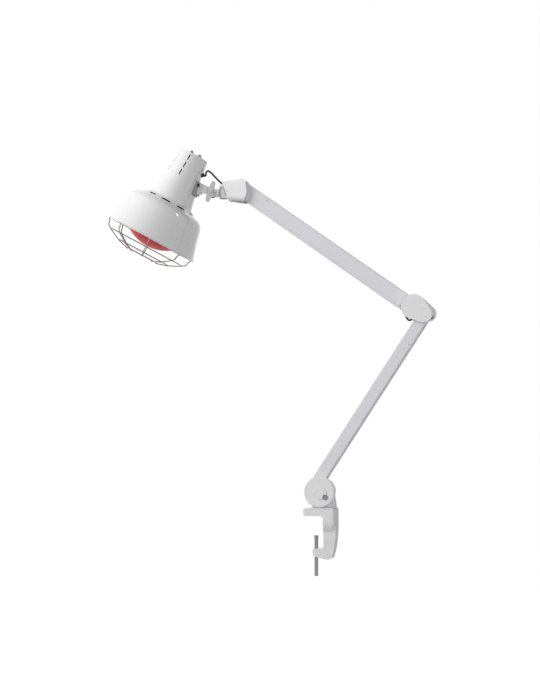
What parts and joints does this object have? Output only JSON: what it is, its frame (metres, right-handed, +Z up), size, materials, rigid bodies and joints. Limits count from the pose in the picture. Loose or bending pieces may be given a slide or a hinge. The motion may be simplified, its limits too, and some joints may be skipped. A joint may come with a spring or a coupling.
{
  "type": "infrared heat therapy lamp",
  "caption": "Infrared heat therapy lamp with a bell shade, wire guard and red bulb on a swinging arm of nested channels, held by a bench clamp.",
  "frame": {"origin": "on the underside of the clamp's upper jaw, over the axis of the clamp screw", "axes": "+Z up along the clamp screw, +X from the clamp's mouth to its spine, the arms lie in the XZ plane"},
  "size_m": [0.7029, 0.2097, 0.903],
  "materials": {
    "clamp_paint": "satin white paint",
    "cover_white": "glossy white",
    "arm_paint": "satin white paint",
    "shade_white": "high-gloss white enamel",
    "bright_steel": "bright zinc",
    "dark_steel": "plain dark steel",
    "plate_grey": "grey paint",
    "wire_grey": "grey plated wire",
    "black_rubber": "matte",
    "holder_ceramic": "unglazed ceramic",
    "bulb_red": "red coated glass, opaque"
  },
  "bodies": {
    "root": {"clamp_frame": "clamp_paint", "swivel_bush": "dark_steel"},
    "clamp_tip": {"clamp_tip": "dark_steel"},
    "clamp_screw": {"clamp_screw": "dark_steel"},
    "base": {"base_foot": "arm_paint", "swivel_pin": "bright_steel", "base_front_cover": "cover_white", "base_rear_cover": "cover_white", "base_cap": "cover_white", "base_cover_screws": "bright_steel", "base_pivot_pins": "bright_steel", "mains_gland": "black_rubber"},
    "lower_arm": {"lower_outer_channel": "arm_paint", "lower_spring": "bright_steel", "lower_spring_pin": "bright_steel"},
    "lower_link": {"lower_inner_channel": "arm_paint"},
    "elbow": {"elbow_core": "arm_paint", "elbow_front_cover": "cover_white", "elbow_rear_cover": "cover_white", "elbow_pivot_pins": "bright_steel", "elbow_screw": "bright_steel", "elbow_lead": "black_rubber"},
    "upper_arm": {"upper_outer_channel": "arm_paint", "upper_spring": "bright_steel", "upper_spring_pin": "bright_steel"},
    "upper_link": {"upper_inner_channel": "arm_paint"},
    "head_bracket": {"head_bracket": "arm_paint", "bell_front_cover": "cover_white", "bell_rear_cover": "cover_white", "bell_screw": "bright_steel", "head_pivot_pins": "bright_steel", "pan_pin": "bright_steel"},
    "tongue": {"tilt_tongue": "cover_white", "tilt_bolt": "bright_steel", "friction_washer": "black_rubber", "arm_lead": "black_rubber"},
    "wing_nut": {"wing_nut": "bright_steel"},
    "head": {"tilt_ear": "cover_white", "neck_plate": "plate_grey", "neck_plate_screws": "black_rubber", "shade": "shade_white", "cap_nuts": "bright_steel", "holder_studs": "bright_steel", "holder_spacers": "bright_steel", "lampholder": "holder_ceramic", "bulb_cap": "bright_steel", "bulb_glass": "bulb_red", "guard": "wire_grey", "neck_grommet": "black_rubber", "neck_lead": "black_rubber"}
  },
  "joints": [
    {"name": "clamp_tip_travel", "type": "slide", "parent": "root", "child": "clamp_tip", "axis": [0, 0, 1], "range_m": [-0.0191, 0.0361]},
    {"name": "clamp_screw_turn", "type": "hinge", "parent": "clamp_tip", "child": "clamp_screw", "pos_m": [0, 0, -0.08], "axis": [0, 0, 1], "range_deg": [-5472, 10368]},
    {"name": "base_swivel", "type": "hinge", "parent": "root", "child": "base", "pos_m": [0.03, 0, 0.015], "axis": [0, 0, 1], "range_deg": [-170, 170]},
    {"name": "lower_arm_tilt", "type": "hinge", "parent": "base", "child": "lower_arm", "pos_m": [0.00137, 0, 0.05562], "axis": [0, 1, 0], "range_deg": [-33, 26], "deforming": ["lower_spring", "elbow_lead"]},
    {"name": "lower_link_turn", "type": "hinge", "parent": "base", "child": "lower_link", "pos_m": [-0.00782, 0, 0.06168], "axis": [0, 1, 0], "range_deg": [-33, 26]},
    {"name": "elbow_level", "type": "hinge", "parent": "lower_arm", "child": "elbow", "pos_m": [0.23367, 0, 0.40793], "axis": [0, 1, 0], "range_deg": [-26, 33]},
    {"name": "upper_arm_tilt", "type": "hinge", "parent": "elbow", "child": "upper_arm", "pos_m": [0.20657, 0, 0.43284], "axis": [0, 1, 0], "range_deg": [-31, 34], "deforming": ["upper_spring", "elbow_lead"]},
    {"name": "upper_link_turn", "type": "hinge", "parent": "elbow", "child": "upper_link", "pos_m": [0.19599, 0, 0.41827], "axis": [0, 1, 0], "range_deg": [-31, 34]},
    {"name": "head_level", "type": "hinge", "parent": "upper_arm", "child": "head_bracket", "pos_m": [-0.15911, 0, 0.69851], "axis": [0, 1, 0], "range_deg": [-34, 31]},
    {"name": "head_pan", "type": "hinge", "parent": "head_bracket", "child": "tongue", "pos_m": [-0.2024, 0, 0.68323], "axis": [0, 0, 1], "range_deg": [-30, 20], "deforming": ["arm_lead"]},
    {"name": "head_tilt", "type": "hinge", "parent": "tongue", "child": "head", "pos_m": [-0.22681, -0.00214, 0.68323], "axis": [-0.0872, 0.9962, 0], "range_deg": [-25, 60], "deforming": ["neck_lead"]},
    {"name": "wing_nut_turn", "type": "hinge", "parent": "tongue", "child": "wing_nut", "pos_m": [-0.22681, -0.00214, 0.68323], "axis": [-0.0872, 0.9962, 0], "range_deg": [-180, 180]}
  ],
  "couplings": [
    {"joint": "clamp_tip_travel", "follows": "clamp_screw_turn", "m_per_rad": 0.00019894},
    {"joint": "lower_link_turn", "follows": "lower_arm_tilt", "ratio": 1},
    {"joint": "elbow_level", "follows": "lower_arm_tilt", "ratio": -1},
    {"joint": "upper_link_turn", "follows": "upper_arm_tilt", "ratio": 1},
    {"joint": "head_level", "follows": "upper_arm_tilt", "ratio": -1}
  ]
}
